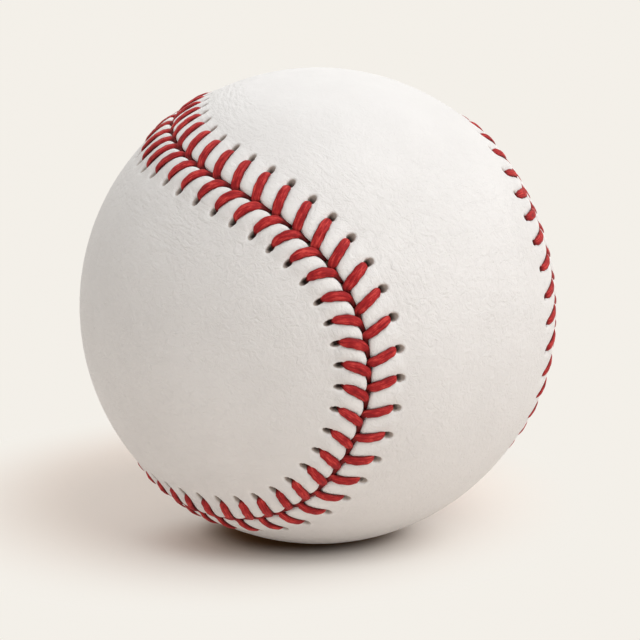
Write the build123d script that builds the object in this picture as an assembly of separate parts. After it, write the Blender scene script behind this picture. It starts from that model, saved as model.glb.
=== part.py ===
from build123d import *
from build123d.topology import SkipClean
import os
from collections import namedtuple
from math import acos, atan2, cos, degrees, pi, sin, sqrt

# A hand-sewn leather baseball lying on a table: +Z is up and the origin is the ball's centre.
# Lengths are in millimetres and angles in degrees.

# The ball and its layers, from the middle out.
BALL_DIAMETER = 74.2
CORK_DIAMETER = 20.6
BLACK_SHELL = 4.0
GASKET_THICKNESS = 0.8
RED_CUSHION = 2.4
SECOND_WINDING = 1.8
THIRD_WINDING = 2.3
FINISH_WINDING = 0.5
ADHESIVE_FILM = 0.1
LEATHER = 1.35
LAYER_GAP = 0.05

# The seam's latitude and longitude on the ball, as waves round one turn of t.
# The second wave of latitude and the fourth of longitude make the even figure of eight;
# the others are this ball's unevenness.
LATITUDE_COS_2 = 1.026
LATITUDE_COS_1 = 0.132
LATITUDE_SIN_3 = -0.074
LONGITUDE_SIN_4 = 0.364
LONGITUDE_COS_1 = -0.225
LONGITUDE_COS_3 = -0.253
SEAM_NODES = 20

# How the ball has come to lie: turned about X, then Y, then Z.
ROLL = -24.1
PITCH = 78.7
YAW = 111.5

# The leather beside the seam: skived thinner, raised over the thread below it, rounded into the gap.
SEAM_GAP = 1.2
SKIVED_LEATHER = 0.75
WELT_CROWN_OFFSET = 2.0
WELT_EDGE_SLANT = 0.4
LIP_DROP = 0.45
CHANNEL_SLOPE = 0.5

# The stitching: two threads, which take turns along the seam. A shift, of the holes along the seam,
# and a lean, of a stitch from its hole to the gap, are shares of the stitch pitch.
STITCHES = 108
HOLE_OFFSET = 4.1
HOLE_DIAMETER = 1.4
HOLE_MARGIN = 0.1
THREAD_WIDTH = 1.15
THREAD_THICKNESS = 0.6
THREAD_CLEARANCE = 0.06
SHOULDER_DROP = 0.25
SHOULDER_RADIUS = 0.6
LEG_CROWN_RADIUS = 5.0
LEFT_SHIFT = 0.35
RIGHT_SHIFT = 0.70
LEFT_LEAN = -0.60
RIGHT_LEAN = -0.45

RADIUS = BALL_DIAMETER / 2
CENTRE = Vector(0, 0, 0)
LEFT, RIGHT = 1, -1
HALF_GAP = SEAM_GAP / 2

# Distances across the seam from its middle.
WELT_FOOT_OFFSET = HOLE_OFFSET - HOLE_DIAMETER / 2 - HOLE_MARGIN
CHANNEL_EDGE = HOLE_OFFSET + HOLE_DIAMETER / 2 + HOLE_MARGIN
CHANNEL_END = CHANNEL_EDGE + CHANNEL_SLOPE
WELT_EDGE_OFFSET = CHANNEL_END + WELT_EDGE_SLANT + HOLE_MARGIN

# Heights over the plain leather surface.
CHANNEL_ROOF = -LEATHER + THREAD_THICKNESS + 2 * THREAD_CLEARANCE
WELT_CROWN = CHANNEL_ROOF + SKIVED_LEATHER
LIP_TOP = WELT_CROWN - LIP_DROP
RUN_HEIGHT = -LEATHER + THREAD_CLEARANCE + THREAD_THICKNESS / 2
LEG_CROWN = WELT_CROWN + 3 * THREAD_CLEARANCE + THREAD_THICKNESS / 2
LEG_SHOULDER = LEG_CROWN - SHOULDER_DROP

SeamArc = namedtuple("SeamArc", "axis start turn length")


def seam_point(t):
    """Point of the seam on a ball of radius one."""
    latitude = LATITUDE_COS_2 * cos(2 * t) + LATITUDE_COS_1 * cos(t) + LATITUDE_SIN_3 * sin(3 * t)
    longitude = t + LONGITUDE_SIN_4 * sin(4 * t) + LONGITUDE_COS_1 * cos(t) + LONGITUDE_COS_3 * cos(3 * t)
    point = Vector(cos(latitude) * cos(longitude), cos(latitude) * sin(longitude), sin(latitude))
    return point.rotate(Axis.X, ROLL).rotate(Axis.Y, PITCH).rotate(Axis.Z, YAW)


def seam_heading(t, step=1e-5):
    return (seam_point(t + step) - seam_point(t - step)).normalized()


def circle_arc(start, heading, end):
    """The arc on the ball that leaves start along heading and reaches end."""
    axis = heading.cross(end - start).normalized()
    if axis.cross(start).dot(heading) < 0:
        axis = -axis
    arm = start - axis * axis.dot(start)
    reach = end - axis * axis.dot(end)
    turn = atan2(arm.cross(reach).dot(axis), arm.dot(reach))
    return SeamArc(axis, start, degrees(turn), turn * arm.length * RADIUS)


def biarc(p0, t0, p1, t1):
    """Two arcs on the ball that join two points of the seam and share a tangent where they meet."""
    chord = p1 - p0
    tangents = t0 + t1
    a = tangents.dot(tangents) - 4
    b = -2 * chord.dot(tangents)
    reach = (-b - sqrt(b * b - 4 * a * chord.dot(chord))) / (2 * a)
    middle = ((p0 + p1 + (t0 - t1) * reach) / 2).normalized()
    first = circle_arc(p0, t0, middle)
    heading = t0.rotate(Axis(CENTRE, first.axis), first.turn)
    return [first, circle_arc(middle, heading, p1)]


def seam_arcs():
    stations = [2 * pi * i / SEAM_NODES for i in range(SEAM_NODES)]
    nodes = [(seam_point(t), seam_heading(t)) for t in stations]
    arcs = []
    for here, there in zip(nodes, nodes[1:] + nodes[:1]):
        arcs += biarc(*here, *there)
    return arcs


SEAM = seam_arcs()
SEAM_LENGTH = sum(arc.length for arc in SEAM)
STITCH_PITCH = SEAM_LENGTH / STITCHES


def off_seam(along, across):
    """Direction from the ball's centre to a place along the seam and across it, left being positive."""
    along %= SEAM_LENGTH
    for arc in SEAM:
        if along <= arc.length:
            break
        along -= arc.length
    point = arc.start.rotate(Axis(CENTRE, arc.axis), arc.turn * along / arc.length)
    left = (arc.axis - point * arc.axis.dot(point)).normalized()
    return point * cos(across / RADIUS) + left * sin(across / RADIUS)


def turned_section(arc, outline):
    """A cross-section of the seam, drawn by outline(at), turned along one arc of it."""
    arm = (arc.start - arc.axis * arc.axis.dot(arc.start)).normalized()
    cone = acos(arc.axis.dot(arc.start))
    plane = Plane(CENTRE, x_dir=arm, z_dir=arm.cross(arc.axis))

    def at(across, height):
        angle = cone - across / RADIUS
        return ((RADIUS + height) * sin(angle), (RADIUS + height) * cos(angle))

    face = plane * make_face(outline(at))
    return revolve(face, Axis(CENTRE, arc.axis), arc.turn)


def level(at, across_0, across_1, height):
    """An arc of the cross-section at one height over the ball."""
    return ThreePointArc(
        at(across_0, height), at((across_0 + across_1) / 2, height), at(across_1, height)
    )


def edge_line(at, side):
    """The slanted side of the welt, from below the leather to above it."""
    low = Vector(*at(side * (WELT_EDGE_OFFSET - WELT_EDGE_SLANT), -LEATHER))
    high = Vector(*at(side * WELT_EDGE_OFFSET, 0))
    return low * 2 - high, low, high, high * 2 - low


def slab_outline(at):
    """The whole thickness of the leather and more, as wide as both welts."""
    bottom_left, _, _, top_left = edge_line(at, LEFT)
    bottom_right, _, _, top_right = edge_line(at, RIGHT)
    return Polyline(bottom_left, top_left, top_right, bottom_right, close=True)


def welt_outline(at, side):
    """The raised edge of one panel, from the gap out to the plain leather."""
    gap, crown, foot = side * HALF_GAP, side * WELT_CROWN_OFFSET, side * WELT_FOOT_OFFSET
    roof_end, floor_start = side * CHANNEL_EDGE, side * CHANNEL_END
    _, low, high, _ = edge_line(at, side)
    return [
        level(at, gap, roof_end, CHANNEL_ROOF),
        Line(at(roof_end, CHANNEL_ROOF), at(floor_start, -LEATHER)),
        level(at, floor_start, side * (WELT_EDGE_OFFSET - WELT_EDGE_SLANT), -LEATHER),
        Line(low, high),
        level(at, side * WELT_EDGE_OFFSET, foot, 0),
        ThreePointArc(at(foot, 0), at(crown, WELT_CROWN), at(gap, LIP_TOP)),
        Line(at(gap, LIP_TOP), at(gap, CHANNEL_ROOF)),
    ]


def ball_layer(outer, inner):
    return Sphere(outer) - Sphere(inner)


def thread_section(place, heading, normal):
    return Plane(place, x_dir=normal, z_dir=heading) * SlotOverall(THREAD_WIDTH, THREAD_THICKNESS)


def stitch_leg(hole, gap):
    """The thread that shows: up through its hole, over the welt and down into the gap."""
    angle = acos(hole.dot(gap))
    plane = Plane(CENTRE, x_dir=hole, z_dir=hole.cross(gap))

    def at(share, height):
        return ((RADIUS + height) * cos(share * angle), (RADIUS + height) * sin(share * angle))

    path = plane * FilletPolyline(
        at(0, RUN_HEIGHT),
        at(0, LEG_SHOULDER),
        at(0.5, LEG_CROWN),
        at(1, LEG_SHOULDER),
        at(1, RUN_HEIGHT),
        radius=[SHOULDER_RADIUS, LEG_CROWN_RADIUS, SHOULDER_RADIUS],
    )
    return sweep(thread_section(path @ 0, path % 0, plane.z_dir), path)


def stitch_run(gap, hole):
    """The thread below the other panel, from the gap to that panel's next hole."""
    plane = Plane(CENTRE, x_dir=gap, z_dir=gap.cross(hole))
    section = thread_section(gap * (RADIUS + RUN_HEIGHT), plane.y_dir, plane.z_dir)
    return revolve(section, Axis(CENTRE, plane.z_dir), degrees(acos(gap.dot(hole))))


def hole_place(k, side):
    shift = LEFT_SHIFT if side == LEFT else RIGHT_SHIFT
    return off_seam((k + shift) * STITCH_PITCH, side * HOLE_OFFSET)


def gap_place(k, side):
    reach = LEFT_SHIFT + LEFT_LEAN if side == LEFT else RIGHT_SHIFT + RIGHT_LEAN
    return off_seam((k + reach) * STITCH_PITCH, 0)


def stitch_thread(first):
    """One of the two threads, which sews left and right holes by turns."""
    pieces = []
    for k in range(STITCHES):
        side = LEFT if (k + first) % 2 == 0 else RIGHT
        hole, gap = hole_place(k, side), gap_place(k, side)
        pieces += [stitch_leg(hole, gap), stitch_run(gap, hole_place(k - 1, -side))]
    return joined(pieces)


def stitch_hole(direction):
    start = direction * (RADIUS + CHANNEL_ROOF - THREAD_THICKNESS)
    depth = SKIVED_LEATHER + 2 * THREAD_THICKNESS
    return Solid.make_cylinder(HOLE_DIAMETER / 2, depth, Plane(start, z_dir=direction))


def joined(pieces, touching=False):
    solids = [piece.solid() for piece in pieces]
    return solids[0].fuse(*solids[1:], glue=touching)


def cover_panels():
    """The two figure-of-eight leather panels, each with its welt and stitch holes."""
    leather = ball_layer(RADIUS, RADIUS - LEATHER)
    band = joined([turned_section(arc, slab_outline) for arc in SEAM], touching=True)
    plains = leather.solid().cut(band).solids()
    panels = []
    for side in (LEFT, RIGHT):
        inside = off_seam(0, side * 2 * WELT_EDGE_OFFSET) * (RADIUS - LEATHER / 2)
        plain = next(piece for piece in plains if piece.is_inside(inside))
        sections = [turned_section(arc, lambda at: welt_outline(at, side)) for arc in SEAM]
        holes = [stitch_hole(hole_place(k, side)) for k in range(STITCHES)]
        welt = joined(sections, touching=True).cut(*holes)
        panels.append(joined([plain, welt], touching=True))
    return panels


def half_layer(outer, inner, side, cut_height):
    """The upper or lower half of a layer, cut level at a height from the middle."""
    block = Box(3 * outer, 3 * outer, 3 * outer, align=(Align.CENTER, Align.CENTER, Align.MIN))
    half = ball_layer(outer, inner) & (Pos(0, 0, cut_height) * block)
    return half if side > 0 else mirror(half, Plane.XY)


def rubber_pieces():
    """The moulded rubber round the cork: two black shells, a red gasket at their rims, two red halves."""
    black_inner = CORK_DIAMETER / 2 + LAYER_GAP
    black_outer = black_inner + BLACK_SHELL
    red_inner = black_outer + LAYER_GAP
    red_outer = red_inner + RED_CUSHION
    rim = GASKET_THICKNESS / 2
    gasket = Cylinder(black_outer, GASKET_THICKNESS) - Cylinder(black_inner, GASKET_THICKNESS)
    return {
        "black_rubber_upper": half_layer(black_outer, black_inner, 1, rim + LAYER_GAP),
        "black_rubber_lower": half_layer(black_outer, black_inner, -1, rim + LAYER_GAP),
        "rim_gasket": gasket & Sphere(black_outer),
        "red_cushion_upper": half_layer(red_outer, red_inner, 1, LAYER_GAP / 2),
        "red_cushion_lower": half_layer(red_outer, red_inner, -1, LAYER_GAP / 2),
    }, red_outer


def windings(pill_radius):
    """The yarn layers, from the cover inwards; the first winding fills what the others leave."""
    layers = {}
    outer = RADIUS - LEATHER - LAYER_GAP
    thicknesses = {
        "adhesive_film": ADHESIVE_FILM,
        "finish_winding": FINISH_WINDING,
        "third_winding": THIRD_WINDING,
        "second_winding": SECOND_WINDING,
    }
    for name, thickness in thicknesses.items():
        layers[name] = ball_layer(outer, outer - thickness)
        outer -= thickness + LAYER_GAP
    layers["first_winding"] = ball_layer(outer, pill_radius + LAYER_GAP)
    return layers


def build():
    rubber, pill_radius = rubber_pieces()
    nodes = {"cork_core": Sphere(CORK_DIAMETER / 2)} | rubber | windings(pill_radius)
    # Faces that lie on one sphere stay apart in the covers, which keeps their edges exact.
    with SkipClean():
        nodes["cover_left"], nodes["cover_right"] = cover_panels()
        nodes["thread_one"], nodes["thread_two"] = stitch_thread(0), stitch_thread(1)
    return nodes


os.makedirs("parts", exist_ok=True)
for name, piece in build().items():
    export_step(piece, f"parts/{name}.step")
print(f"seam {SEAM_LENGTH:.1f} mm, stitch pitch {STITCH_PITCH:.2f} mm, welt crown {WELT_CROWN:.2f} mm")
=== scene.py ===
from math import cos, pi, radians, sin, sqrt

import bpy
import numpy as np
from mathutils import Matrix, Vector
from mathutils.geometry import delaunay_2d_cdt

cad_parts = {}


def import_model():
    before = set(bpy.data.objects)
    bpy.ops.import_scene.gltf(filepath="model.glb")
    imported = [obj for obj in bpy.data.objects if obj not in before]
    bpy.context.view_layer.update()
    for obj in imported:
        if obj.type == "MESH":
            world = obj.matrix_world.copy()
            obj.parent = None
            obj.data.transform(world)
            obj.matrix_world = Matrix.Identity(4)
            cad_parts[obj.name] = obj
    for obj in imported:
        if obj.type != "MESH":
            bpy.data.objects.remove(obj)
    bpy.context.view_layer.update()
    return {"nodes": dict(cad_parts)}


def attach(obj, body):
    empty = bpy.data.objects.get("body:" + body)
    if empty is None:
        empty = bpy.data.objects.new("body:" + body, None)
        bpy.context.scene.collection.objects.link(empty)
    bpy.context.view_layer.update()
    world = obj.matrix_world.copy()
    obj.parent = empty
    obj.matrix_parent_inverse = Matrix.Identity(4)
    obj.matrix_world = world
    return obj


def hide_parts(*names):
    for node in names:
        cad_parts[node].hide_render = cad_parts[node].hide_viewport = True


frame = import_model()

RNG = np.random.default_rng(108)

# The same ball as the solids, in millimetres; the meshes are scaled to metres as they are made.
RADIUS = 37.1
METRES = 0.001
STITCHES = 108
LEFT, RIGHT = 1, -1
ROLL, PITCH, YAW = radians(-24.1), radians(78.7), radians(111.5)


def turn(axis, angle):
    """Rotation matrix about one of the axes X, Y and Z, numbered from 0."""
    i, j = [(1, 2), (2, 0), (0, 1)][axis]
    m = np.eye(3)
    m[i, i] = m[j, j] = cos(angle)
    m[i, j], m[j, i] = -sin(angle), sin(angle)
    return m


ATTITUDE = turn(2, YAW) @ turn(1, PITCH) @ turn(0, ROLL)


def unit(v):
    return v / np.linalg.norm(v, axis=-1, keepdims=True)


def seam_point(t):
    """Points of the seam on a ball of radius one, for an array of t."""
    lat = 1.026 * np.cos(2 * t) + 0.132 * np.cos(t) - 0.074 * np.sin(3 * t)
    lon = t + 0.364 * np.sin(4 * t) - 0.225 * np.cos(t) - 0.253 * np.cos(3 * t)
    flat = np.stack([np.cos(lat) * np.cos(lon), np.cos(lat) * np.sin(lon), np.sin(lat)], -1)
    return flat @ ATTITUDE.T


SEAM_T = np.linspace(0, 2 * pi, 43201)
SEAM_XYZ = seam_point(SEAM_T)
SEAM_S = np.concatenate([[0], np.cumsum(np.linalg.norm(np.diff(SEAM_XYZ, axis=0), axis=1))]) * RADIUS
SEAM_LENGTH = SEAM_S[-1]
PITCH_MM = SEAM_LENGTH / STITCHES


def seam_frame(s):
    """Point on the unit ball and leftward direction at distances s along the seam."""
    t = np.interp(np.mod(s, SEAM_LENGTH), SEAM_S, SEAM_T)
    p = seam_point(t)
    heading = unit(seam_point(t + 1e-4) - seam_point(t - 1e-4))
    return p, np.cross(p, heading)


def smooth(x):
    """Smooth step from 0 to 1."""
    x = np.clip(x, 0, 1)
    return x * x * (3 - 2 * x)


def wander(knots, s):
    """Value at distances s along the seam, from a list of (stitch number, value)."""
    stations, values = zip(*knots)
    return np.interp(s / PITCH_MM, stations, values, period=STITCHES)


# The seam strays a little from its ideal line: (stitch number, millimetres to the left).
SWAY = [
    (0, 0), (10, 0), (14, -0.9), (16.5, -0.9), (18, -0.5), (20, -0.12), (22, 0), (35, 0), (38, 0.12),
    (41, 0.1), (46, 0), (65, 0), (70, 0.9), (83, 0.9), (88, 0),
]
# Beside the seam the straying fades over this width, and ends at this distance.
SWAY_FADE, SWAY_END = 5, 8


def place(s, across, height):
    """Positions in millimetres, from the distance along the seam, across it and over the ball."""
    p, left = seam_frame(s)
    stray = sum(wander(SWAY, s + step * PITCH_MM) for step in (-1, 0, 1)) / 3
    angle = ((across + stray * smooth((SWAY_END - np.abs(across)) / SWAY_FADE)) / RADIUS)[..., None]
    return (p * np.cos(angle) + left * np.sin(angle)) * (RADIUS + height)[..., None]


def spline(keys, count):
    """Catmull-Rom through rows of keys, with count samples to each step."""
    keys = np.asarray(keys, float)
    k = np.concatenate([2 * keys[:1] - keys[1:2], keys, 2 * keys[-1:] - keys[-2:-1]])
    f = (np.arange(count) / count)[None, :, None]
    a, b, c, d = (k[i:len(k) - 3 + i][:, None] for i in range(4))
    out = 0.5 * (2 * b + (c - a) * f + (2 * a - 5 * b + 4 * c - d) * f**2 + (3 * b - a - 3 * c + d) * f**3)
    return np.concatenate([out.reshape(-1, keys.shape[1]), keys[-1:]])


def new_mesh(name, verts_mm, faces, material):
    mesh = bpy.data.meshes.new(name)
    mesh.from_pydata((np.asarray(verts_mm) * METRES).tolist(), [], faces)
    mesh.update()
    mesh.polygons.foreach_set("use_smooth", np.ones(len(mesh.polygons), bool))
    mesh.materials.append(material)
    piece = bpy.data.objects.new(name, mesh)
    bpy.context.scene.collection.objects.link(piece)
    return piece


def attribute(piece, name, values):
    made = piece.data.attributes.new(name, "FLOAT", "POINT")
    made.data.foreach_set("value", np.asarray(values, np.float32))


def grid_faces(rows, columns, closed):
    """Faces of a grid of vertices whose rows are rings; closed joins the last row to the first."""
    r, c = np.divmod(np.arange((rows if closed else rows - 1) * columns), columns)
    r2, c2 = (r + 1) % rows, (c + 1) % columns
    return np.stack([r * columns + c, r * columns + c2, r2 * columns + c2, r2 * columns + c], 1)


# Stitches

# Hand sewing drifts: (stitch number, shift of its holes along the seam in pitches).
DRIFT = {
    LEFT: [
        (0, 0.35), (16, 0.16), (20, 0.34), (27, 0.54), (30, 0.33), (33, 0.28), (36, 0.01), (40, -0.24),
        (42, -0.48), (44, -0.80), (54, 0.35), (72, 0.38), (75, 0.03), (82, 0.55), (92, 0.35),
    ],
    RIGHT: [
        (0, 0.70), (12, 0.40), (15, 0.12), (17, 0.20), (18, 0.33), (19, 0.64), (20, 0.72), (26, 0.89),
        (30, 0.64), (35, 0.18), (42, 0.26), (44, 0.02), (54, 0.70), (72, 0.74), (75, 0.38), (78, 0.48),
        (82, 0.92), (92, 0.70),
    ],
}
# No two stitches are quite alike: spread of their places in pitches, of their widths and of their heights.
PLACE_SPREAD, WIDTH_SPREAD, RISE_SPREAD = 0.018, 0.04, 0.02
# The holes' distance from the gap's middle wanders too: (stitch number, millimetres).
HOLE_AT = {
    LEFT: [
        (0, 4.10), (11, 4.40), (15, 5.20), (17, 5.20), (19, 4.75), (22, 4.20), (25, 3.95), (33, 3.85),
        (36, 4.00), (38, 4.25), (39.8, 4.65), (40.7, 5.35), (41.6, 6.20), (43, 6.80), (46, 6.40), (54, 4.10),
    ],
    RIGHT: [
        (0, 4.30), (20, 4.35), (28, 4.15), (32, 4.45), (36, 4.85), (39, 5.00), (41, 5.30), (43, 5.60),
        (46, 5.60), (54, 4.30), (65, 4.30), (70, 5.10), (83, 5.10), (88, 4.30),
    ],
}
# Each stitch, from its hole into the gap: along the seam in pitches, distance from the gap's middle,
# height, half width and half thickness.
LEG_KEYS = {
    LEFT: [
        (0.000, 3.56, -1.00, 0.30, 0.26), (0.000, 3.44, -0.50, 0.41, 0.28),
        (-0.010, 3.14, -0.03, 0.53, 0.31), (-0.052, 2.60, 0.20, 0.64, 0.33),
        (-0.128, 1.84, 0.30, 0.69, 0.34), (-0.235, 1.08, 0.21, 0.70, 0.34),
        (-0.365, 0.48, -0.04, 0.61, 0.33), (-0.490, 0.13, -0.34, 0.42, 0.31),
        (-0.640, -0.02, -0.56, 0.33, 0.28), (-0.800, -0.20, -0.90, 0.32, 0.26),
    ],
    RIGHT: [
        (0.000, 3.60, -1.00, 0.36, 0.28), (0.000, 3.48, -0.50, 0.46, 0.30),
        (-0.015, 3.18, -0.02, 0.59, 0.32), (-0.060, 2.62, 0.21, 0.67, 0.34),
        (-0.135, 1.84, 0.30, 0.69, 0.34), (-0.215, 1.08, 0.20, 0.70, 0.34),
        (-0.290, 0.47, -0.06, 0.68, 0.33), (-0.360, 0.12, -0.34, 0.58, 0.31),
        (-0.470, -0.03, -0.56, 0.42, 0.29), (-0.610, -0.08, -0.64, 0.36, 0.28),
        (-0.710, -0.30, -0.95, 0.34, 0.26),
    ],
}
# These points are for a hole whose middle is at the first distance and whose stitch comes up at the second.
HOLE, STARTS = 4.1, 3.4
# Points nearer the gap's middle than these two distances lie in the gap and in the run along it, and
# points further away than the third lie at the hole.
IN_GAP, IN_RUN, AT_HOLE = 0.2, 0.05, 3
# Along the foot of the ball and up to the front bend the sewing differs, as (stitch number, value):
# the thread in the gap lies shallower, by so many millimetres,
TAIL_RISE = [(0, 0), (12, 0), (15, 0.24), (18, 0.24), (21, 0.04), (24, 0)]
# it runs this many times as far along the gap,
TAIL_REACH = [(0, 1.0), (11, 1.0), (13, 1.5), (24, 1.5), (28, 1.0)]
# the left stitches are this many times as broad at their holes,
BLUNT = [(0, 1.0), (10, 1.0), (14, 1.35), (23, 1.35), (28, 1.0)]
# and the left holes are this many times as large.
HOLE_SIZE = [(0, 1.0), (9, 1.0), (13, 1.4), (19, 1.4), (25, 1.0)]
# Two stretches of the seam are drawn down flatter than the rest: (stitch number, share of the full height).
FLATNESS = {
    LEFT: [
        (0, 1.0), (38, 1.0), (42, 0.65), (47, 0.65), (52, 1.0), (65, 1.0), (70, -0.7), (83, -0.7), (88, 1.0),
    ],
    RIGHT: [
        (0, 1.0), (38, 1.0), (42, 0.65), (47, 0.65), (52, 1.0), (67, 1.0), (72, 0.35), (83, 0.35), (88, 1.0),
    ],
}
# What is drawn down is a stitch's rise from this depth in the gap to this height over the ball.
LEG_FOOT, LEG_TOP = 0.34, 0.30


def hole_stations(side):
    """Distance along the seam of each hole of one side."""
    k = np.arange(STITCHES)
    drift = wander(DRIFT[side], k * PITCH_MM)
    drift = (np.roll(drift, 1) + 2 * drift + np.roll(drift, -1)) / 4
    return (k + drift + RNG.normal(0, PLACE_SPREAD, STITCHES)) * PITCH_MM


HOLE_S = {side: hole_stations(side) for side in (LEFT, RIGHT)}
LEG_WIDTH = {side: RNG.normal(1, WIDTH_SPREAD, STITCHES) for side in (LEFT, RIGHT)}
LEG_RISE = {side: RNG.normal(0, RISE_SPREAD, STITCHES) for side in (LEFT, RIGHT)}


# Leather

COLUMNS_PER_STITCH = 24
# The leather's cross-section beside the seam, from under its edge: distance from the gap's middle, height.
EDGE_KEYS = [
    (1.10, -1.28), (0.62, -1.20), (0.40, -0.98), (0.34, -0.66), (0.38, -0.38), (0.52, -0.12), (0.79, 0.07),
    (1.20, 0.18), (1.80, 0.24), (2.50, 0.235), (3.10, 0.19), (3.60, 0.14), (4.10, 0.09), (4.60, 0.055),
    (5.20, 0.03), (5.90, 0.01), (6.60, 0.0), (7.20, 0.0), (7.80, 0.0),
]
# Rows of vertices from each of these points to the next: most where the holes are.
EDGE_ROWS = [1, 1, 2, 2, 2, 3, 3, 3, 3, 3, 4, 4, 4, 4, 4, 3, 3, 2]
# Distances from the seam of the coarser rings outside these rows, and where the scattered points start.
RINGS = (8.1, 8.4, 8.7)
MIDDLE_STARTS = 9.6
# Depth and half width of the dent under a stitch, and rise of the leather between two.
DENT, DENT_WIDTH, PUFF = 0.33, 0.60, 0.13
# They fade out over this width, and end this far past the hole's middle.
DENT_FADE, DENT_END = 1.3, 0.7
# A stitch draws the leather's edge back, over this half width; between stitches it bulges into the gap.
DRAWN, DRAWN_WIDTH, BULGE = 0.22, 0.55, 0.12
# Widths over which the drawn edge and the painted highlight between stitches fade out, and distances where
# they end.
DRAWN_FADE, DRAWN_END = 1.3, 1.7
HIGHLIGHT_FADE, HIGHLIGHT_END = 2, 3.6
# Half length and half width of a hole, and how far outside its middle it is still black.
HOLE_FORM = {LEFT: (0.80, 0.47, 0.55), RIGHT: (0.73, 0.48, 0.38)}
# Its depth, the share of that at its outer end and the width over which the depth changes.
HOLE_DEPTH, OUTER_SHARE, OUTER_FADE = 1.15, 0.38, 0.7
# How far out its middle lies from its nominal place, and how much narrower its outer end is.
HOLE_SHIFT, OUTER_TAPER = 0.05, 0.12
# Its outline lies between an ellipse, at 2, and a box.
SQUARENESS = 2.4
# Round it, as shares of its size: its wall, a dimple with its depth and a pale rim of painted highlight with
# its strength.
WALL_AT, WALL_WIDTH = 1.03, 0.36
DIMPLE, DIMPLE_WIDTH = 0.08, 1.8
RIM, RIM_AT, RIM_WIDTH = 0.8, 1.28, 0.24


def lean(a, side):
    """How far along the seam a stitch has come from its hole, at distance a from the gap's middle."""
    keys = np.array(LEG_KEYS[side])[::-1]
    return np.interp(a, keys[:, 1], keys[:, 0]) * PITCH_MM


def from_nearest(s, side):
    """Distance along the seam from the nearest hole of one side."""
    stations = HOLE_S[side]
    ring = np.concatenate([stations[-2:] - SEAM_LENGTH, stations, stations[:2] + SEAM_LENGTH])
    nearest = np.searchsorted((ring[1:] + ring[:-1]) / 2, s)
    return s - ring[nearest]


def hole_relief(s, out, side):
    """Depth of the hole, depth of the dimple round it and strength of its pale rim of painted highlight, out
    from its middle.
    """
    long, wide, black = HOLE_FORM[side]
    size = wander(HOLE_SIZE, s) if side == LEFT else 1
    long, wide = long * size, wide * size
    beside = from_nearest(s, side) / (wide * (1 - OUTER_TAPER * np.clip(out / long, -1, 1)))
    r = (np.abs(out / long) ** SQUARENESS + np.abs(beside) ** SQUARENESS) ** (1 / SQUARENESS)
    floor_share = OUTER_SHARE + (1 - OUTER_SHARE) * smooth((black - out) / OUTER_FADE)
    hole = HOLE_DEPTH * smooth((WALL_AT - r) / WALL_WIDTH) * floor_share
    dimple = DIMPLE * np.exp(-(r / DIMPLE_WIDTH) ** 2)
    rim = RIM * np.exp(-((r - RIM_AT) / RIM_WIDTH) ** 2)
    return hole, dimple, rim


def leather_relief(s, a, side):
    """Rise of the leather over its plain profile, pull of its edge, depth in a hole and painted highlight.
    """
    hole_a = wander(HOLE_AT[side], s)
    extra = hole_a - HOLE
    share = np.where(a < STARTS + extra, a * STARTS / (STARTS + extra), a - extra)
    off = from_nearest(s - lean(share, side), side)
    slope = (lean(share + 0.1, side) - lean(share - 0.1, side)) / 0.2
    between = 0.5 - 0.5 * np.cos(pi * np.clip(np.abs(off) / (PITCH_MM / 2), 0, 1))
    off = off / np.sqrt(1 + slope**2)
    reach = smooth((hole_a + DENT_END - a) / DENT_FADE)
    dent = DENT * np.exp(-(off / DENT_WIDTH) ** 2) * reach
    puff = PUFF * between * reach
    hole, dimple, rim = hole_relief(s, a - hole_a - HOLE_SHIFT, side)
    drawn = DRAWN * np.exp(-(off / DRAWN_WIDTH) ** 2) - BULGE * between
    pull = smooth((DRAWN_END - a) / DRAWN_FADE) * drawn
    # Painted highlight: the leather between stitches near the gap, and a rim round each hole, is made paler.
    painted_highlight = np.maximum(between * smooth((HIGHLIGHT_END - a) / HIGHLIGHT_FADE), rim)
    return puff - dent - dimple - hole, pull, hole, painted_highlight


def panel_strip(side):
    """The rows of vertices beside the seam, from under the leather's edge out to plain leather."""
    columns = STITCHES * COLUMNS_PER_STITCH
    fine = 12
    rows = [fine * i + fine * j // count for i, count in enumerate(EDGE_ROWS) for j in range(count)]
    profile = spline(EDGE_KEYS, fine)[rows + [-1]]
    s, a = np.meshgrid(np.arange(columns) * SEAM_LENGTH / columns, profile[:, 0])
    height = profile[:, 1:]
    base = height * np.where(height > 0, np.maximum(wander(FLATNESS[side], s), 0), 1)
    rise, pull, hole, painted_highlight = leather_relief(s, a, side)
    # The rolled edge keeps its plain shape below the gap's mouth.
    over = np.where(a < 1.2, smooth((base + 0.9) / 0.6), 1)
    marks = {"off": a, "depth": hole, "painted_highlight": painted_highlight * over}
    return place(s, side * (a + pull * over), base + rise * over), marks


def ball_points(spacing):
    """Even points over the unit ball, a spacing in millimetres apart."""
    hexagon = 0.87
    n = int(4 * pi * RADIUS**2 / (hexagon * spacing**2))
    i = np.arange(n) + 0.5
    z = 1 - 2 * i / n
    angle = i * pi * (3 - sqrt(5))
    return np.stack([np.sqrt(1 - z * z) * np.cos(angle), np.sqrt(1 - z * z) * np.sin(angle), z], -1)


def seam_distance(points):
    """Signed distance in millimetres from the seam, positive on its left."""
    p, left = seam_frame(np.arange(0, SEAM_LENGTH, 0.25))
    out = np.empty(len(points))
    batch = 1500
    for i in range(0, len(points), batch):
        q = points[i:i + batch]
        dots = q @ p.T
        near = dots.argmax(1)
        side = np.sign(np.einsum("ij,ij->i", q, left[near]))
        out[i:i + batch] = side * np.arccos(np.clip(dots[np.arange(len(q)), near], -1, 1)) * RADIUS
    return out


SCATTER = ball_points(1.3)
SCATTER_FROM_SEAM = seam_distance(SCATTER)


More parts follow.
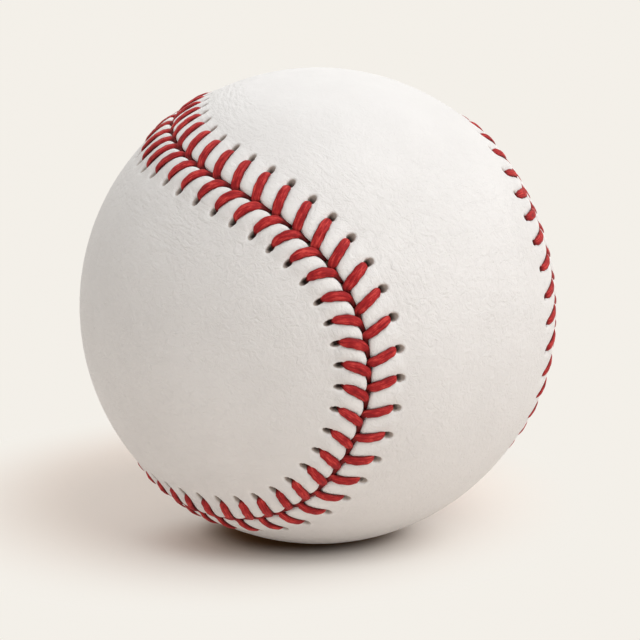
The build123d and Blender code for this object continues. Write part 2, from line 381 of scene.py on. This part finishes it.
def coarser_rings(ring, total, side):
    """Rings outside a strip that ends in a ring, each with half the points of the last.

    Gives their points, these points' distances from the seam, the faces and the outermost ring.
    """
    verts, off, faces = [], [], []
    for a in RINGS:
        n = len(ring) // 2
        s = np.arange(n) * SEAM_LENGTH / n
        verts.append(place(s, np.full(n, side * a), np.zeros(n)))
        off.append(np.full(n, a))
        new = np.arange(total, total + n)
        total += n
        for j in range(n):
            k = (j + 1) % n
            p0, p1, p2 = ring[2 * j], ring[2 * j + 1], ring[(2 * j + 2) % len(ring)]
            faces += [[p0, p1, new[j]], [p1, new[k], new[j]], [p1, p2, new[k]]]
        ring = new
    return np.concatenate(verts), np.concatenate(off), faces, ring


def panel_middle(edge, side):
    """The plain middle of a panel, triangulated on a flat picture of it seen from the far side.

    Gives its points on the unit ball, their distances from the seam and the triangles, which count the
    points of the edge first.
    """
    inside = side * SCATTER_FROM_SEAM > MIDDLE_STARTS
    chosen = SCATTER[inside]
    pole = SCATTER[np.argmax(-side * SCATTER_FROM_SEAM)]
    points = np.concatenate([edge, chosen])
    sideways = [0.3, 0.5, 0.81]
    e1 = unit(np.cross(pole, sideways))
    e2 = np.cross(pole, e1)
    flat = np.stack([points @ e1, points @ e2], 1) / (1 - points @ pole)[:, None]
    n = len(edge)
    loop = [(j, (j + 1) % n) for j in range(n)]
    got = delaunay_2d_cdt([Vector(p) for p in flat.tolist()], loop, [list(range(n))], 1, 1e-9)
    triangles = np.array([[got[3][v][0] for v in f] for f in got[2]])
    return chosen, np.abs(SCATTER_FROM_SEAM[inside]), triangles


def looks_in(verts, faces):
    """Which faces look towards the middle of the ball."""
    a, b, c = (verts[faces[:, i]] for i in range(3))
    return np.einsum("ij,ij->i", np.cross(b - a, c - a), a) < 0


def cover_panel(name, side, material):
    """One panel: the strip beside the seam, the coarser rings outside it and the plain middle."""
    strip, marks = panel_strip(side)
    rows, columns = strip.shape[:2]
    ring = np.arange((rows - 1) * columns, rows * columns)
    rings, rings_off, ring_faces, ring = coarser_rings(ring, rows * columns, side)
    middle, middle_off, triangles = panel_middle(rings[-len(ring):] / RADIUS, side)
    verts = np.concatenate([strip.reshape(-1, 3), rings, middle * RADIUS])
    index = np.concatenate([ring, np.arange(len(verts) - len(middle), len(verts))])
    plain = np.concatenate([ring_faces, index[triangles]])
    # The leather's outer side faces out; the rolled edge takes its sense from the strip's outermost row.
    quads = grid_faces(rows, columns, closed=False)
    if looks_in(verts, quads)[-columns // 2]:
        quads = quads[:, ::-1]
    wrong = looks_in(verts, plain)
    plain[wrong] = plain[wrong][:, ::-1]
    piece = new_mesh(name, verts, quads.tolist() + plain.tolist(), material)
    attribute(piece, "off", np.concatenate([marks.pop("off").ravel(), rings_off, middle_off]))
    for mark, values in marks.items():
        attribute(piece, mark, np.concatenate([values.ravel(), np.zeros(len(verts) - values.size)]))
    return piece


# Thread

AROUND = 14
STEPS = 4
# Height, half width and half thickness of the thread where it runs below a panel.
RUN_BELOW = (-1.08, 0.40, 0.17)
# Two plies twist round each other and show as slight ridges: share of the width, radians per millimetre.
PLY_RIDGE, PLY_TURN = 0.045, 2.1
# The thread's section is a little squarer than an ellipse, which has 1.
SECTION_POWER = 0.9
# Painted shade on the thread's colour, on its flanks and underside and where it lies deep: tone left there.
FLANK_TONE, DEEP_TONE = 0.22, 0.28
# Depths where the shade begins and is full.
SHADE_BEGINS, SHADE_FULL = 0.12, 0.54


def leg(k, side, at):
    """Points of one stitch, from its hole over the panel and down into the gap."""
    extra = wander(HOLE_AT[side], at) - HOLE
    pressed = (LEG_FOOT + LEG_TOP * wander(FLATNESS[side], at)) / (LEG_FOOT + LEG_TOP)
    keys = []
    for s, a, height, width, thick in LEG_KEYS[side]:
        height += LEG_RISE[side][k]
        if height > -LEG_FOOT:
            height = (height + LEG_FOOT) * pressed - LEG_FOOT
        s *= wander(TAIL_REACH, at) if a < IN_RUN else 1
        height += wander(TAIL_RISE, at) if a < IN_GAP else 0
        width *= wander(BLUNT, at) if side == LEFT and a > AT_HOLE else 1
        reach = a + extra * min(max(a / STARTS, 0), 1)
        keys.append((at + s * PITCH_MM, side * reach, height, width * LEG_WIDTH[side][k], thick))
    return keys


def thread_keys(first):
    """Points along a thread: along the seam, across it, height, half width and half thickness."""
    keys = []
    for k in range(STITCHES, 0, -1):
        side = LEFT if (k + first) % 2 == 0 else RIGHT
        at, after = HOLE_S[side][k % STITCHES], HOLE_S[-side][(k - 1) % STITCHES]
        at += SEAM_LENGTH if k == STITCHES else 0
        keys += leg(k % STITCHES, side, at)
        # Out of sight it crosses below the other panel to that panel's next hole.
        last, goal = keys[-1], -side * wander(HOLE_AT[-side], after)
        for f in (0.35, 0.75):
            keys.append((last[0] + f * (after - last[0]), last[1] + f * (goal - last[1]), *RUN_BELOW))
    return keys


def section_axes(s, across, xyz):
    """Broad and thin directions of the thread's section: it lies flat on the ball."""
    heading = unit(np.roll(xyz, -1, 0) - np.roll(xyz, 1, 0))
    ds = np.roll(s, -1) - np.roll(s, 1)
    ds[0] = ds[-1] = ds[1]
    da = np.roll(across, -1) - np.roll(across, 1)
    level = place(s + ds * 0.5, across + da * 0.5, 0 * s) - place(s, across, 0 * s)
    broad = unit(np.cross(unit(xyz), level))
    return broad, unit(np.cross(heading, broad))


def thread(name, first, material):
    """One closed thread: over its own panel, down the gap, under the other panel and up again."""
    keys = thread_keys(first)
    # Going round, the last stitch runs on into the first.
    wrapped = np.concatenate([keys[-2:], keys, keys[:3]])
    wrapped[:2, 0] += SEAM_LENGTH
    wrapped[-3:, 0] -= SEAM_LENGTH
    path = spline(wrapped, STEPS)[2 * STEPS:(2 + len(keys)) * STEPS]
    s, across, height, width, thick = path.T
    xyz = place(s, across, height)
    broad, thin = section_axes(s, across, xyz)
    length = np.concatenate([[0], np.cumsum(np.linalg.norm(np.diff(xyz, axis=0), axis=1))])
    angle = 2 * pi * np.arange(AROUND) / AROUND
    c, sn = np.cos(angle), np.sin(angle)
    twist = 1 + PLY_RIDGE * np.cos(2 * (angle[None, :] - length[:, None] * PLY_TURN))
    across_w = width[:, None] * twist * (np.sign(c) * np.abs(c) ** SECTION_POWER)
    across_t = thick[:, None] * twist * (np.sign(sn) * np.abs(sn) ** SECTION_POWER)
    rings = xyz[:, None] + broad[:, None] * across_w[..., None] + thin[:, None] * across_t[..., None]
    n = len(path)
    piece = new_mesh(name, rings.reshape(-1, 3), grid_faces(n, AROUND, closed=True).tolist(), material)
    attribute(piece, "along", np.repeat(length, AROUND))
    attribute(piece, "around", np.tile(c, n))
    attribute(piece, "around_2", np.tile(sn, n))
    # Painted shade in the colour: darker on the flanks and underside, and where the thread lies deep.
    crown = FLANK_TONE + (1 - FLANK_TONE) * smooth((sn + 0.15) / 0.95)
    shaded = smooth((-SHADE_BEGINS - height) / (SHADE_FULL - SHADE_BEGINS))
    attribute(piece, "painted_shade", ((1 - (1 - DEEP_TONE) * shaded)[:, None] * crown).ravel())
    return piece


# Materials

class Nodes:
    """A short way to build a material's nodes."""

    def __init__(self, name):
        self.material = bpy.data.materials.new(name)
        self.material.use_nodes = True
        self.tree = self.material.node_tree
        self.shader = self.tree.nodes["Principled BSDF"]

    def add(self, kind, inputs=None, **settings):
        node = self.tree.nodes.new(kind)
        for key, value in settings.items():
            setattr(node, key, value)
        for key, value in (inputs or {}).items():
            self.set(node.inputs[key], value)
        return node

    def set(self, socket, value):
        if isinstance(value, bpy.types.NodeSocket):
            self.tree.links.new(value, socket)
        else:
            socket.default_value = value

    def shade(self, **values):
        """Set the shader's sockets: Base_Color stands for Base Color."""
        for key, value in values.items():
            self.set(self.shader.inputs[key.replace("_", " ")], value)

    def math(self, operation, a, b=0.0):
        return self.add("ShaderNodeMath", {0: a, 1: b}, operation=operation).outputs[0]

    def mark(self, name):
        """A value that the mesh carries at its vertices."""
        return self.add("ShaderNodeAttribute", attribute_name=name).outputs["Fac"]

    def noise(self, vector, scale, detail=4.0, rough=0.55, **settings):
        inputs = {"Vector": vector, "Scale": scale, "Detail": detail, "Roughness": rough}
        return self.add("ShaderNodeTexNoise", inputs, **settings)

    def ramp(self, factor, stops):
        node = self.add("ShaderNodeValToRGB", {"Fac": factor})
        band = node.color_ramp.elements
        while len(band) < len(stops):
            band.new(0.5)
        for element, (position, colour) in zip(band, stops):
            element.position = position
            element.color = (*colour, 1)
        return node.outputs["Color"]

    def grey_ramp(self, factor, low, high):
        """From one grey at 0.3 to another at 0.7."""
        return self.ramp(factor, [(0.3, (low,) * 3), (0.7, (high,) * 3)])

    def multiply(self, a, b):
        """Product of two colours."""
        node = self.add("ShaderNodeMix", {0: 1.0, 6: a, 7: b}, data_type="RGBA", blend_type="MULTIPLY")
        return node.outputs[2]

    def bump(self, height, strength, distance, normal=None):
        inputs = {"Height": height, "Strength": strength, "Distance": distance}
        if normal is not None:
            inputs["Normal"] = normal
        return self.add("ShaderNodeBump", inputs).outputs["Normal"]

    def where(self):
        return self.add("ShaderNodeTexCoord").outputs["Object"]


BLACK, WHITE = (0, 0, 0), (1, 1, 1)


def leather_colour(m, where):
    """White leather, paler with painted highlight between stitches near the gap and round the holes, and
    darkened with painted shade down the holes.
    """
    tone = m.noise(where, 70, 5).outputs["Fac"]
    plain = m.ramp(tone, [(0.25, (0.770, 0.761, 0.757)), (0.75, (0.832, 0.825, 0.822))])
    # Painted highlight: paler between stitches near the gap and round the holes.
    pale = m.math("MULTIPLY", m.mark("painted_highlight"), 0.6)
    plain = m.add("ShaderNodeMix", {0: pale, 6: plain, 7: (0.90, 0.895, 0.89, 1)},
                  data_type="RGBA").outputs[2]
    # Painted shade: the colour darkens with depth down each hole, to near black at the bottom.
    hole_shade = m.ramp(m.mark("depth"), [
        (0.06, WHITE), (0.22, (0.66, 0.61, 0.56)), (0.55, (0.46, 0.40, 0.36)), (1.0, (0.17, 0.13, 0.11)),
    ])
    return m.multiply(plain, hole_shade)


def leather_normal(m, where):
    """Pores, creases, wrinkles and a slow swell, from the finest to the broadest."""
    pores = m.add("ShaderNodeTexVoronoi", {"Vector": where, "Scale": 1900.0, "Randomness": 1.0},
                  feature="DISTANCE_TO_EDGE").outputs["Distance"]
    normal = m.bump(m.ramp(pores, [(0.0, BLACK), (0.16, WHITE)]), 0.12, 0.00005)
    creases = m.noise(where, 900.0, 5.0, 0.62)
    creases.inputs["Distortion"].default_value = 1.4
    # The crown of the ball is rubbed smoother than the rest.
    height = m.add("ShaderNodeSeparateXYZ", {0: where}).outputs[2]
    grain = m.add("ShaderNodeMapRange", {
        "Value": height, "From Min": 0.018, "From Max": 0.034, "To Min": 1.0, "To Max": 0.25,
    }).outputs[0]
    normal = m.bump(creases.outputs["Fac"], grain, 0.0002, normal)
    # Shallow wrinkles in patches: beside the seam they follow it, in the middle of a panel they don't.
    wrinkle = m.noise(where, 420.0, 3.0, 0.6, noise_dimensions="4D")
    m.set(wrinkle.inputs["W"], m.math("MULTIPLY", m.math("MINIMUM", m.mark("off"), 12.0), 0.0034))
    patch = m.ramp(m.noise(where, 55, 2).outputs["Fac"], [(0.42, BLACK), (0.62, WHITE)])
    normal = m.bump(m.math("MULTIPLY", wrinkle.outputs["Fac"], patch), 0.75, 0.0003, normal)
    swell = m.noise(where, 120, 3).outputs["Fac"]
    return m.bump(swell, 0.25, 0.0002, normal)


def leather_material(name):
    m = Nodes(name)
    where = m.where()
    m.shade(
        Base_Color=leather_colour(m, where),
        Roughness=m.grey_ramp(m.noise(where, 900, 3).outputs["Fac"], 0.44, 0.58),
        Specular_IOR_Level=0.35,
        Normal=leather_normal(m, where),
    )
    return m.material


def thread_material(name):
    """Waxed red thread, with fibres that run along it."""
    m = Nodes(name)
    lay = m.add("ShaderNodeCombineXYZ", {
        0: m.math("MULTIPLY", m.mark("along"), 0.22),
        1: m.math("MULTIPLY", m.mark("around"), 0.85),
        2: m.math("MULTIPLY", m.mark("around_2"), 0.85),
    }).outputs[0]
    fibre = m.noise(lay, 3.2, 6, 0.68).outputs["Fac"]
    patch = m.noise(m.where(), 900, 3).outputs["Fac"]
    mix = m.math("ADD", m.math("MULTIPLY", fibre, 0.72), m.math("MULTIPLY", patch, 0.28))
    red = m.ramp(mix, [
        (0.36, (0.20, 0.006, 0.009)), (0.50, (0.405, 0.017, 0.020)), (0.64, (0.72, 0.082, 0.068)),
    ])
    # The painted shade darkens the red on the thread's flanks and underside and deep in the gap.
    m.shade(
        Base_Color=m.multiply(red, m.mark("painted_shade")),
        Roughness=m.grey_ramp(fibre, 0.50, 0.68),
        Specular_IOR_Level=0.18,
        Normal=m.bump(fibre, 0.5, 0.0001),
    )
    return m.material


def inner_material(name, dark, light, scale, rough, bump):
    """A grainy material between two colours, for the pieces inside the ball."""
    m = Nodes(name)
    grain = m.noise(m.where(), scale, 6, 0.65).outputs["Fac"]
    m.shade(
        Base_Color=m.ramp(grain, [(0.3, dark), (0.7, light)]),
        Roughness=m.grey_ramp(grain, rough, min(1, rough + 0.15)),
        Normal=m.bump(grain, 0.5, bump),
    )
    return m.material


CORK = inner_material("cork", (0.18, 0.09, 0.05), (0.50, 0.33, 0.19), 900, 0.75, 0.0003)
BLACK_RUBBER = inner_material("black_rubber", (0.012,) * 3, (0.03,) * 3, 500, 0.55, 0.00005)
RED_RUBBER = inner_material("red_rubber", (0.26, 0.02, 0.018), (0.40, 0.045, 0.035), 500, 0.5, 0.00005)
GREY_YARN = inner_material("grey_yarn", (0.20, 0.195, 0.19), (0.42, 0.41, 0.40), 1500, 0.85, 0.0004)
WHITE_YARN = inner_material("white_yarn", (0.52, 0.50, 0.46), (0.78, 0.76, 0.71), 1500, 0.85, 0.0004)
COTTON_YARN = inner_material("cotton_yarn", (0.58, 0.56, 0.51), (0.82, 0.80, 0.75), 2500, 0.8, 0.0002)
LATEX = inner_material("latex", (0.30, 0.24, 0.15), (0.46, 0.38, 0.25), 400, 0.35, 0.00005)
INNER = {
    "cork_core": CORK,
    "black_rubber_upper": BLACK_RUBBER,
    "black_rubber_lower": BLACK_RUBBER,
    "rim_gasket": RED_RUBBER,
    "red_cushion_upper": RED_RUBBER,
    "red_cushion_lower": RED_RUBBER,
    "first_winding": GREY_YARN,
    "second_winding": WHITE_YARN,
    "third_winding": GREY_YARN,
    "finish_winding": COTTON_YARN,
    "adhesive_film": LATEX,
}
for node, material in INNER.items():
    mesh = frame["nodes"][node].data
    mesh.materials.clear()
    mesh.materials.append(material)

LEATHER = leather_material("white_leather")
THREAD = thread_material("waxed_red_thread")

for name, side in (("leather_left", LEFT), ("leather_right", RIGHT)):
    piece = cover_panel(name, side, LEATHER)
    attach(piece, "root")
    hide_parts("cover_left" if side == LEFT else "cover_right")
for first, (name, node) in enumerate((("stitching_one", "thread_one"), ("stitching_two", "thread_two"))):
    piece = thread(name, first, THREAD)
    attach(piece, "root")
    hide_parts(node)


# Floor, light and camera

PALE = (0.902, 0.870, 0.814)


def seen_ray(tree):
    """One for the rays that show the surroundings themselves: seen, mirrored or through glass."""
    rays = tree.nodes.new("ShaderNodeLightPath").outputs
    total = rays["Is Camera Ray"]
    for kind in ("Is Glossy Ray", "Is Transmission Ray"):
        add = tree.nodes.new("ShaderNodeMath")
        tree.links.new(total, add.inputs[0])
        tree.links.new(rays[kind], add.inputs[1])
        total = add.outputs[0]
    return total


def beyond(m, shift, narrow, start, end):
    """From 0 inside an ellipse on the floor to 1 outside a larger one, in metres."""
    near = m.add("ShaderNodeMapping", {
        "Vector": m.where(), "Location": (*shift, 0), "Scale": (narrow, 1, 0),
    })
    far = m.add("ShaderNodeVectorMath", {0: near.outputs[0]}, operation="LENGTH").outputs["Value"]
    return m.add("ShaderNodeMapRange", {"Value": far, "From Min": start, "From Max": end},
                 interpolation_type="SMOOTHSTEP").outputs[0]


def floor_material(name):
    """A pale table that far off shows one even tone, so that no edge or horizon is seen."""
    m = Nodes(name)
    grain = m.noise(m.where(), 25, 4).outputs["Fac"]
    table = m.ramp(grain, [(0.3, (0.905, 0.775, 0.688)), (0.7, (0.92, 0.79, 0.703))])
    # Painted contact shadow: within a small ellipse round the foot of the ball the table's colour is
    # darkened to a warm near-black, and the even tone is kept off it.
    clear = beyond(m, (0.0015, 0), 0.68, 0.0072, 0.0126)
    pressed = m.ramp(clear, [(0.0, (0.23, 0.12, 0.045)), (1.0, WHITE)])
    m.shade(Base_Color=m.multiply(table, pressed), Roughness=0.9, Specular_IOR_Level=0.1)
    # The shadow is deep close round the foot of the ball and runs out thinly to the left behind it.
    foot = m.math("MULTIPLY", beyond(m, (0.002, 0.0044), 0.53, 0.0066, 0.0150), 0.32)
    spread = m.math("MULTIPLY", beyond(m, (0.0119, -0.0207), 0.88, 0.0270, 0.0540), 0.68)
    share = m.math("MULTIPLY", m.math("ADD", foot, spread), clear)
    even = m.add("ShaderNodeEmission", {"Color": (*PALE, 1), "Strength": 1.0})
    lit = m.add("ShaderNodeMixShader", {0: share, 1: m.shader.outputs[0], 2: even.outputs[0]})
    # Painted shade: close round the foot the floor's colour for the light it sends on is made dark, so
    # little light comes back up.
    returned = m.ramp(beyond(m, (0, 0), 1.0, 0.013, 0.030),
                      [(0.0, (0.10, 0.05, 0.02)), (1.0, (0.895, 0.82, 0.755))])
    bounce = m.add("ShaderNodeBsdfDiffuse", {"Color": returned})
    mix = m.add("ShaderNodeMixShader", {0: seen_ray(m.tree), 1: bounce.outputs[0], 2: lit.outputs[0]})
    m.tree.links.new(mix.outputs[0], m.tree.nodes["Material Output"].inputs["Surface"])
    return m.material


def floor():
    mesh = bpy.data.meshes.new("floor")
    z, half = -RADIUS * METRES, 40.0
    corners = [(-half, -half, z), (half, -half, z), (half, half, z), (-half, half, z)]
    mesh.from_pydata(corners, [], [(0, 1, 2, 3)])
    mesh.materials.append(floor_material("pale_table"))
    piece = bpy.data.objects.new("floor", mesh)
    bpy.context.scene.collection.objects.link(piece)


def area_light(name, place_m, size, power, colour=(1, 1, 1)):
    """A round lamp that faces the ball."""
    data = bpy.data.lights.new(name, "AREA")
    data.shape, data.size, data.energy, data.color = "DISK", size, power, colour
    lamp = bpy.data.objects.new(name, data)
    lamp.location = place_m
    lamp.rotation_euler = (-Vector(place_m)).to_track_quat("-Z", "Y").to_euler()
    bpy.context.scene.collection.objects.link(lamp)


def world():
    """Soft light from all round; looked at, it has the floor's even tone."""
    w = bpy.data.worlds.new("studio")
    bpy.context.scene.world = w
    w.use_nodes = True
    tree = w.node_tree
    light = tree.nodes["Background"]
    light.inputs["Color"].default_value = (1.0, 0.985, 0.96, 1)
    light.inputs["Strength"].default_value = 0.46
    seen = tree.nodes.new("ShaderNodeBackground")
    seen.inputs["Color"].default_value = (*PALE, 1)
    mix = tree.nodes.new("ShaderNodeMixShader")
    tree.links.new(seen_ray(tree), mix.inputs[0])
    tree.links.new(light.outputs[0], mix.inputs[1])
    tree.links.new(seen.outputs[0], mix.inputs[2])
    tree.links.new(mix.outputs[0], tree.nodes["World Output"].inputs["Surface"])


# The photograph: its width, and the ball's radius and shift from the middle in it, in pixels.
PICTURE, BALL_PX, SHIFT_PX = 640, 238.3, (2.2, -14.4)
# The camera's distance in radii of the ball, and how far it looks down.
CAMERA_RADII, TILT = 5, radians(10)
SENSOR_MM = 36


def camera():
    """Set so that the ball has the photograph's place and size in a square picture."""
    data = bpy.data.cameras.new("camera")
    distance = CAMERA_RADII * RADIUS * METRES
    focal_px = BALL_PX * sqrt(CAMERA_RADII**2 - 1)
    data.sensor_width = SENSOR_MM
    data.lens = SENSOR_MM * focal_px / PICTURE
    data.shift_x, data.shift_y = SHIFT_PX[0] / PICTURE, SHIFT_PX[1] / PICTURE
    data.clip_start = 0.01
    cam = bpy.data.objects.new("camera", data)
    cam.location = (0, -distance * cos(TILT), distance * sin(TILT))
    cam.rotation_euler = (pi / 2 - TILT, 0, 0)
    bpy.context.scene.collection.objects.link(cam)
    bpy.context.scene.camera = cam


floor()
world()
area_light("key", (0.34, -0.22, 0.52), 0.80, 3.5, (1.0, 0.99, 0.98))
area_light("fill", (-0.50, -0.40, 0.30), 0.60, 0.16, (1.0, 0.98, 0.95))
area_light("back", (-0.15, 0.45, 0.50), 0.60, 0.8)
camera()
bpy.context.scene.view_settings.view_transform = "Standard"
